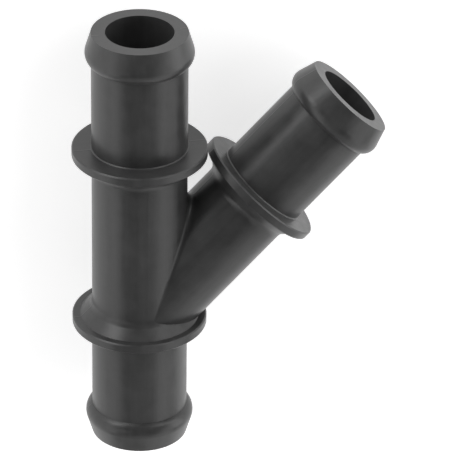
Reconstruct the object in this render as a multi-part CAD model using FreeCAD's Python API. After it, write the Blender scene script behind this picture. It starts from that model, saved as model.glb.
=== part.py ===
"""Y connector for coolant hoses, moulded in one piece from dark glass-filled plastic.

A straight run has a hose spigot at each end, and an angled branch has a third.
Each spigot ends in a bead that holds the hose, and starts at a thin round collar that stops it.
The collars sit on short conical shoulders, and one bore runs through each tube.

Sizes are in millimetres and degrees.
The connector lies on the rims of its three collars, as it comes to rest when nothing holds it.
The origin is the centre of the run's lower end face. The run goes along +Y,
the branch leans from it towards +X in the same level plane, and +Z is up.
"""
import FreeCAD, Part
import math
import os

from FreeCAD import Vector

# Spigots, the same at all three ends, each measured from its collar to its end face
spigot_d = 19.0
spigot_length = 25.2
bore_d = 13.5
root_bevel = 0.2

# Bead, measured back from the end face, and out from the spigot's wall
bead_length = 6.45
bead_height = 1.25
crest_radius = 2.5
nose_height = 0.05

# Collar, and the conical shoulder between it and its tube, which leaves a flat ledge on the collar
collar_height = 3.9
collar_thickness = 1.9
collar_bevel = 0.25
ledge_width = 1.5
shoulder_angle = 45.0
shoulder_blend = 2.0

# Tubes between the collars
body_d = 18.9
body_length = 36.0
branch_angle = 43.5
branch_rise = 0.65
branch_reach = 35.9
seam_radius = 1.0

# The branch is a little slimmer than the run, so that the seam closes on the run's wall
branch_relief = 0.1
branch_body_d = body_d - branch_relief

# Diameters that follow the spigot's
bead_d = spigot_d + 2 * bead_height
nose_d = spigot_d + 2 * nose_height
collar_d = spigot_d + 2 * collar_height
shoulder_d = collar_d - 2 * ledge_width

# Places along the run
lower_collar_y = spigot_length
lower_body_y = lower_collar_y + collar_thickness
upper_body_y = lower_body_y + body_length
upper_collar_y = upper_body_y + collar_thickness
run_length = upper_collar_y + spigot_length
shoulder_height = (shoulder_d - body_d) / 2 / math.tan(math.radians(shoulder_angle))

# The two axes, and the point where they meet
RUN = Vector(0, 1, 0)
BRANCH = Vector(math.sin(math.radians(branch_angle)), math.cos(math.radians(branch_angle)), 0)
JUNCTION = Vector(0, lower_body_y + branch_rise, 0)


def turned(start, steps):
    """Solid of revolution about +Z from an outline in (radius, height) that starts and ends on the axis.

    A step is the outline's next corner, or a pair: a point that an arc goes through, and its end.
    """
    edges = []
    here = Vector(start[0], 0, start[1])
    for step in steps:
        if isinstance(step[0], tuple):
            middle, end = (Vector(r, 0, z) for r, z in step)
            edges.append(Part.Arc(here, middle, end).toShape())
        else:
            end = Vector(step[0], 0, step[1])
            edges.append(Part.LineSegment(here, end).toShape())
        here = end
    edges.append(Part.LineSegment(here, Vector(start[0], 0, start[1])).toShape())
    return Part.Face(Part.Wire(edges)).revolve(Vector(0, 0, 0), Vector(0, 0, 1), 360)


def on_circle(centre, radius, degrees):
    """Point of a circle in the outline's plane, its angle measured from the radial direction."""
    angle = math.radians(degrees)
    return (centre[0] + radius * math.cos(angle), centre[1] + radius * math.sin(angle))


def bead_steps():
    """Outline of the bead, from the corner where it leaves the spigot to the end face.

    A round crest rises from the corner, and the nose is the straight cone that touches it.
    """
    corner = (spigot_d / 2, spigot_length - bead_length)
    nose = (nose_d / 2, spigot_length)
    centre_r = bead_d / 2 - crest_radius
    centre = (centre_r, corner[1] + math.sqrt(crest_radius**2 - (corner[0] - centre_r) ** 2))
    to_nose = (nose[0] - centre[0], nose[1] - centre[1])
    bearing = math.degrees(math.atan2(to_nose[1], to_nose[0]))
    touch_angle = bearing - math.degrees(math.acos(crest_radius / math.hypot(*to_nose)))
    return [
        corner,
        (on_circle(centre, crest_radius, 0), on_circle(centre, crest_radius, touch_angle)),
        nose,
    ]


def shoulder_steps(tube_d):
    """Outline of the shoulder, from the tube's wall over a soft blend and up the cone to the collar."""
    slope = math.radians(shoulder_angle)
    tube_r = tube_d / 2
    shoulder_r = shoulder_d / 2
    foot = -collar_thickness - (shoulder_r - tube_r) / math.tan(slope)
    tangent = shoulder_blend * math.tan(slope / 2)
    centre = (tube_r + shoulder_blend, foot - tangent)
    return [
        (tube_r, centre[1]),
        (
            on_circle(centre, shoulder_blend, 180 - shoulder_angle / 2),
            on_circle(centre, shoulder_blend, 180 - shoulder_angle),
        ),
        (shoulder_r, -collar_thickness),
    ]


def hose_end(tube_d, depth):
    """Solid hose end about +Z: tube, shoulder, collar, spigot and bead, with the hose stop at height 0.

    depth is how far the tube goes on behind the hose stop.
    """
    collar_r = collar_d / 2
    bevel_r = collar_r - collar_bevel
    steps = [(tube_d / 2, -depth)]
    steps += shoulder_steps(tube_d)
    steps += [
        (bevel_r, -collar_thickness),
        (collar_r, -collar_thickness + collar_bevel),
        (collar_r, -collar_bevel),
        (bevel_r, 0),
        (spigot_d / 2 + root_bevel, 0),
        (spigot_d / 2, root_bevel),
    ]
    steps += bead_steps()
    steps += [(0, spigot_length)]
    return turned((0, -depth), steps)


def place(shape, base, direction):
    """Carry a shape's origin to a point and turn its +Z to a direction."""
    placed = shape.copy()
    placed.Placement = FreeCAD.Placement(base, FreeCAD.Rotation(Vector(0, 0, 1), direction))
    return placed


def rod(diameter, start, direction, length):
    """Plain cylinder from a point along a direction."""
    return Part.makeCylinder(diameter / 2, length, start, direction)


def seam_edges(tubes):
    """Edges where the branch's wall leaves the run's wall."""
    edges = []
    for edge in tubes.Edges:
        walls = [
            face.Surface
            for face in tubes.ancestorsOfType(edge, Part.Face)
            if isinstance(face.Surface, Part.Cylinder)
        ]
        if len(walls) == 2 and not walls[0].Axis.isEqual(walls[1].Axis, 1e-6):
            edges.append(edge)
    return edges


def fork():
    """Outsides of the two tubes above the lower shoulder, with the seam between them rounded."""
    fork_y = lower_body_y + shoulder_height
    run = rod(body_d, Vector(0, fork_y, 0), RUN, upper_body_y - fork_y)
    branch = rod(branch_body_d, JUNCTION, BRANCH, branch_reach - collar_thickness)
    below = rod(2 * collar_d, Vector(0, 0, 0), RUN, fork_y)
    tubes = run.fuse(branch.cut(below))
    return tubes.makeFillet(seam_radius, seam_edges(tubes))


def heel():
    """Start of the branch, ending inside the lower collar so that the hose stop below stays flat."""
    branch = rod(branch_body_d, JUNCTION, BRANCH, branch_reach / 2)
    below = rod(2 * collar_d, Vector(0, 0, 0), RUN, lower_collar_y + collar_thickness / 2)
    return branch.cut(below)


def bores():
    """Bore through the run, and the branch's bore that opens into it."""
    run = rod(bore_d, Vector(0, 0, 0), RUN, run_length)
    branch = rod(bore_d, JUNCTION, BRANCH, branch_reach + spigot_length)
    return run.fuse(branch)


def y_connector():
    """The whole moulding as one solid."""
    half_run = body_length / 2 + collar_thickness
    run_end = hose_end(body_d, half_run)
    branch_end = hose_end(branch_body_d, branch_reach / 2)
    outside = fork().fuse([
        heel(),
        place(run_end, Vector(0, lower_collar_y, 0), -RUN),
        place(run_end, Vector(0, upper_collar_y, 0), RUN),
        place(branch_end, JUNCTION + BRANCH * branch_reach, BRANCH),
    ])
    return outside.cut(bores()).removeSplitter()


os.makedirs("parts", exist_ok=True)
y_connector().exportStep("parts/y_connector.step")
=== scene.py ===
"""Looks of the coolant hose Y connector: one dark moulding that lies on a white surface.

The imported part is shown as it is, under a satin glass-filled plastic. The camera stands where the
photograph's did. Wide soft lights on both sides are brighter than those in front, which gives each
tube bright flanks and a darker stripe down its middle.

Lengths are in metres and angles in degrees, in the part's frame: the run lies along +Y and +Z is up.
"""
import math

import bpy
from mathutils import Matrix, Vector


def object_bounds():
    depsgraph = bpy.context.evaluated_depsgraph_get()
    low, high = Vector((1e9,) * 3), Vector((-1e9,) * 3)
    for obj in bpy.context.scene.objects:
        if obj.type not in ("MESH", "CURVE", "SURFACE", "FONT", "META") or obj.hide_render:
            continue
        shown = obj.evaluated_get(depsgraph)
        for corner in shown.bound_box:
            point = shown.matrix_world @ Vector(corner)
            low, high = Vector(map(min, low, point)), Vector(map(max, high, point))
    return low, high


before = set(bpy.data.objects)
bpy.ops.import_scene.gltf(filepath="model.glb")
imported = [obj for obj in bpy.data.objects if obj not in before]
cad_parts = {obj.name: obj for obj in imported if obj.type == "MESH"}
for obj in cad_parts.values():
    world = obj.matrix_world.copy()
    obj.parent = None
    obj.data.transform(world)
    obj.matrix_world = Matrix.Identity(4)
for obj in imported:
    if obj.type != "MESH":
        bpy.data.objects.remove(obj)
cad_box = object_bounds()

NODE = "y_connector"

# Lens, fitted to the photograph: side of its square picture and focal length in pixels. The width of
# the sensor, in millimetres, only turns them into a focal length in millimetres.
PICTURE_SIZE = 460
FOCAL_PIXELS = 5090
SENSOR_WIDTH = 36

# Where the camera stands, fitted as well: its azimuth from +Z towards +X and its elevation towards +Y,
# as seen from the point that it looks at, and how far it is rolled about its line of sight
CAMERA_TARGET = Vector((0.01826, 0.04396, 0))
CAMERA_DISTANCE = 1.0114
CAMERA_AZIMUTH = -11.474
CAMERA_ELEVATION = 30.246
CAMERA_ROLL = 0.646

# Nearest and farthest that it sees
CAMERA_RANGE = (0.05, 10)

# The two tubes, for the marks that follow them: the branch's angle, and where its axis meets the run's
BRANCH_ANGLE = 43.5
JUNCTION = (0, 0.02775, 0)

# Moulded plastic: dark and light tone, and range of roughness
PLASTIC_TONES = (0.034, 0.056)
PLASTIC_ROUGHNESS = (0.29, 0.42)

# Its unevenness, as (size across, number of finer layers): cloudy mottle, draw marks that are
# stretched along each tube, and fine grain. The last two have a height as well.
MOTTLE = (0.004, 3)
DRAW_MARKS = (0.0014, 2)
DRAW_MARK_STRETCH = 14
DRAW_MARK_HEIGHT = 0.000012
GRAIN = (0.00035, 1)
GRAIN_HEIGHT = 0.000006

# Clouds that tone and roughness follow: shares of mottle and draw marks in them, and the mixed noise
# values at which both ranges start and end
MOTTLE_SHARE = 0.6
DRAW_MARK_SHARE = 0.4
CLOUD_ENDS = (0.3, 0.7)

# Faint line where the mould's halves met, on the outside only
PARTING_WIDTH = 0.0005
PARTING_HEIGHT = 0.00003
PARTING_CLEAR_OF_AXIS = 0.008

# Stage: the floor's own tone, the light added where it is seen, and the even light from all round
FLOOR_SIZE = 4
FLOOR_TONE = 0.8
FLOOR_LIFT = 0.67
WORLD_STRENGTH = 0.16

# Area lights, each turned towards the part's middle: azimuth from +X towards +Y, elevation, width and
# height as the part sees them, and brightness, of which 1 is white
LIGHT_DISTANCE = 0.8
LIGHTS = {
    "right": (8, 17, 75, 30, 2.3),
    "right_high": (-5, 46, 50, 26, 1.1),
    "far_low": (98, 6, 45, 8, 5.5),
    "far_left": (135, 11, 30, 18, 4.5),
    "left": (-172, 17, 75, 30, 1.4),
    "left_high": (180, 44, 40, 24, 0.7),
    "near": (-60, 22, 60, 40, 0.95),
    "near_left": (-112, 25, 45, 46, 0.45),
    "near_high": (-80, 52, 80, 20, 0.5),
    "front_right": (-40, 40, 30, 16, 1),
    "far_right": (57, 29, 28, 26, 2.1),
}


def camera():
    """The photograph's camera, with its long lens."""
    azimuth, elevation = math.radians(CAMERA_AZIMUTH), math.radians(CAMERA_ELEVATION)
    back = Vector((
        math.sin(azimuth) * math.cos(elevation),
        math.sin(elevation),
        math.cos(azimuth) * math.cos(elevation),
    ))
    right = Vector((math.cos(azimuth), 0, -math.sin(azimuth)))
    up = back.cross(right)
    roll = Matrix.Rotation(math.radians(CAMERA_ROLL), 3, back)
    made = bpy.data.objects.new("camera", bpy.data.cameras.new("camera"))
    made.data.sensor_width = SENSOR_WIDTH
    made.data.lens = SENSOR_WIDTH * FOCAL_PIXELS / PICTURE_SIZE
    made.data.clip_start, made.data.clip_end = CAMERA_RANGE
    axes = Matrix((roll @ right, roll @ up, back)).transposed()
    made.matrix_world = Matrix.Translation(CAMERA_TARGET + back * CAMERA_DISTANCE) @ axes.to_4x4()
    bpy.context.scene.collection.objects.link(made)
    bpy.context.scene.camera = made


def grey(tone):
    """Opaque grey of a tone."""
    return (tone, tone, tone, 1)


def node_tree(owner):
    """Empty node tree of a material or world, as its nodes and a function that links sockets."""
    owner.use_nodes = True
    owner.node_tree.nodes.clear()
    return owner.node_tree.nodes, owner.node_tree.links.new


def calculated(nodes, link, operation, *terms):
    """Result of a math node on numbers and sockets."""
    node = nodes.new("ShaderNodeMath")
    node.operation = operation
    for socket, term in zip(node.inputs, terms):
        if isinstance(term, bpy.types.NodeSocket):
            link(term, socket)
        else:
            socket.default_value = term
    return node.outputs["Value"]


def ranged(nodes, link, value, source, target):
    """A value of the source range, carried over to the target range and held inside it."""
    node = nodes.new("ShaderNodeMapRange")
    node.inputs["From Min"].default_value, node.inputs["From Max"].default_value = source
    node.inputs["To Min"].default_value, node.inputs["To Max"].default_value = target
    link(value, node.inputs["Value"])
    return node.outputs["Result"]


def noise(nodes, link, place, size, layers):
    """Soft noise with spots of about a size, and a number of finer layers on them."""
    node = nodes.new("ShaderNodeTexNoise")
    node.inputs["Scale"].default_value = 1 / size
    node.inputs["Detail"].default_value = layers
    link(place, node.inputs["Vector"])
    return node.outputs["Fac"]


def measured_from(nodes, link, place, origin, angle, unit):
    """Place as measured from an origin, with +Y turned by an angle towards +X and a longer unit along it."""
    node = nodes.new("ShaderNodeMapping")
    node.vector_type = "TEXTURE"
    node.inputs["Location"].default_value = origin
    node.inputs["Rotation"].default_value = (0, 0, -math.radians(angle))
    node.inputs["Scale"].default_value = (1, unit, 1)
    link(place, node.inputs["Vector"])
    return node.outputs["Vector"]


def split(nodes, link, vector):
    """The three numbers of a vector."""
    node = nodes.new("ShaderNodeSeparateXYZ")
    link(vector, node.inputs["Vector"])
    return node.outputs


def along_tubes(nodes, link, place):
    """Place as measured across and along its own tube, shortened along it to stretch the marks.

    The branch's part starts at the junction, and the line halfway between the tubes parts them.
    """
    run = measured_from(nodes, link, place, (0, 0, 0), 0, DRAW_MARK_STRETCH)
    branch = measured_from(nodes, link, place, JUNCTION, BRANCH_ANGLE, DRAW_MARK_STRETCH)
    halfway = measured_from(nodes, link, place, JUNCTION, BRANCH_ANGLE / 2, 1)
    beside_run = calculated(nodes, link, "GREATER_THAN", split(nodes, link, halfway)["X"], 0)
    ahead = calculated(nodes, link, "GREATER_THAN", split(nodes, link, branch)["Y"], 0)
    chosen = nodes.new("ShaderNodeMix")
    chosen.data_type = "VECTOR"
    link(calculated(nodes, link, "MULTIPLY", beside_run, ahead), chosen.inputs["Factor"])
    link(run, chosen.inputs["A"])
    link(branch, chosen.inputs["B"])
    return chosen.outputs["Result"]


def parting_line(nodes, link, lengthwise):
    """1 on the line where the mould's halves met, level with the axes, and 0 elsewhere and in the bores."""
    parts = split(nodes, link, lengthwise)
    height = calculated(nodes, link, "ABSOLUTE", parts["Z"])
    across = calculated(nodes, link, "ABSOLUTE", parts["X"])
    outside = calculated(nodes, link, "GREATER_THAN", across, PARTING_CLEAR_OF_AXIS)
    line = ranged(nodes, link, height, (0, PARTING_WIDTH / 2), (1, 0))
    return calculated(nodes, link, "MULTIPLY", outside, line)


def moulded_plastic():
    """Satin dark grey plastic as it leaves the mould.

    It has a cloudy tone and gloss, draw marks, grain and a parting line.
    """
    made = bpy.data.materials.new("moulded_plastic")
    nodes, link = node_tree(made)
    out = nodes.new("ShaderNodeOutputMaterial")
    shader = nodes.new("ShaderNodeBsdfPrincipled")
    place = nodes.new("ShaderNodeTexCoord").outputs["Object"]
    lengthwise = along_tubes(nodes, link, place)
    mottle = noise(nodes, link, place, *MOTTLE)
    marks = noise(nodes, link, lengthwise, *DRAW_MARKS)
    grain = noise(nodes, link, place, *GRAIN)
    parting = parting_line(nodes, link, lengthwise)

    clouds = calculated(nodes, link, "MULTIPLY", mottle, MOTTLE_SHARE)
    clouds = calculated(nodes, link, "MULTIPLY_ADD", marks, DRAW_MARK_SHARE, clouds)
    dark, light = PLASTIC_TONES
    tone = nodes.new("ShaderNodeMix")
    tone.data_type = "RGBA"
    tone.inputs["A"].default_value = grey(dark)
    tone.inputs["B"].default_value = grey(light)
    link(ranged(nodes, link, clouds, CLOUD_ENDS, (0, 1)), tone.inputs["Factor"])
    link(tone.outputs["Result"], shader.inputs["Base Color"])
    link(ranged(nodes, link, clouds, CLOUD_ENDS, PLASTIC_ROUGHNESS), shader.inputs["Roughness"])

    height = calculated(nodes, link, "MULTIPLY", grain, GRAIN_HEIGHT)
    height = calculated(nodes, link, "MULTIPLY_ADD", marks, DRAW_MARK_HEIGHT, height)
    height = calculated(nodes, link, "MULTIPLY_ADD", parting, PARTING_HEIGHT, height)
    bump = nodes.new("ShaderNodeBump")
    # The heights are in metres already
    bump.inputs["Distance"].default_value = 1
    link(height, bump.inputs["Height"])
    link(bump.outputs["Normal"], shader.inputs["Normal"])
    link(shader.outputs["BSDF"], out.inputs["Surface"])
    return made


def seen(nodes, link):
    """1 for rays that show a surface to the camera, directly, mirrored or through glass.

    It is 0 for the light that the surface sends to other things.
    """
    path = nodes.new("ShaderNodeLightPath").outputs
    bounced = calculated(nodes, link, "MAXIMUM", path["Is Glossy Ray"], path["Is Transmission Ray"])
    return calculated(nodes, link, "MAXIMUM", path["Is Camera Ray"], bounced)


def floor_surface():
    """Matt white that keeps its soft shadow, and is lifted to the photograph's white where it is seen."""
    made = bpy.data.materials.new("floor")
    nodes, link = node_tree(made)
    out = nodes.new("ShaderNodeOutputMaterial")
    matt = nodes.new("ShaderNodeBsdfDiffuse")
    matt.inputs["Color"].default_value = grey(FLOOR_TONE)
    lift = nodes.new("ShaderNodeEmission")
    added = nodes.new("ShaderNodeAddShader")
    link(calculated(nodes, link, "MULTIPLY", seen(nodes, link), FLOOR_LIFT), lift.inputs["Strength"])
    link(matt.outputs["BSDF"], added.inputs[0])
    link(lift.outputs["Emission"], added.inputs[1])
    link(added.outputs["Shader"], out.inputs["Surface"])
    return made


def floor():
    """Plain surface that the part lies on."""
    half = FLOOR_SIZE / 2
    level = cad_box[0].z
    corners = [(-half, -half, level), (half, -half, level), (half, half, level), (-half, half, level)]
    mesh = bpy.data.meshes.new("floor")
    mesh.from_pydata(corners, [], [(0, 1, 2, 3)])
    mesh.materials.append(floor_surface())
    made = bpy.data.objects.new("floor", mesh)
    bpy.context.scene.collection.objects.link(made)


def lights():
    """Soft area lights, each turned towards the middle of the part."""
    middle = (cad_box[0] + cad_box[1]) / 2
    for name, (*angles, brightness) in LIGHTS.items():
        azimuth, elevation, width, height = (math.radians(angle) for angle in angles)
        toward = Vector((
            math.cos(azimuth) * math.cos(elevation),
            math.sin(azimuth) * math.cos(elevation),
            math.sin(elevation),
        ))
        lamp = bpy.data.lights.new(name, "AREA")
        lamp.shape = "RECTANGLE"
        lamp.size = LIGHT_DISTANCE * width * math.cos(elevation)
        lamp.size_y = LIGHT_DISTANCE * height
        lamp.energy = brightness * math.pi * lamp.size * lamp.size_y
        made = bpy.data.objects.new(name, lamp)
        made.visible_camera = False
        made.location = middle + toward * LIGHT_DISTANCE
        made.rotation_mode = "QUATERNION"
        made.rotation_quaternion = (-toward).to_track_quat("-Z", "Y")
        bpy.context.scene.collection.objects.link(made)


def sky():
    """Even light from all round, white where the camera sees it."""
    world = bpy.data.worlds.new("world")
    bpy.context.scene.world = world
    nodes, link = node_tree(world)
    out = nodes.new("ShaderNodeOutputWorld")
    back = nodes.new("ShaderNodeBackground")
    path = nodes.new("ShaderNodeLightPath")
    level = nodes.new("ShaderNodeMix")
    level.inputs["A"].default_value = WORLD_STRENGTH
    level.inputs["B"].default_value = 1
    link(path.outputs["Is Camera Ray"], level.inputs["Factor"])
    link(level.outputs["Result"], back.inputs["Strength"])
    link(back.outputs["Background"], out.inputs["Surface"])


bpy.context.scene.view_settings.view_transform = "Standard"
camera()
floor()
lights()
sky()
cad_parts[NODE].material_slots[0].material = moulded_plastic()
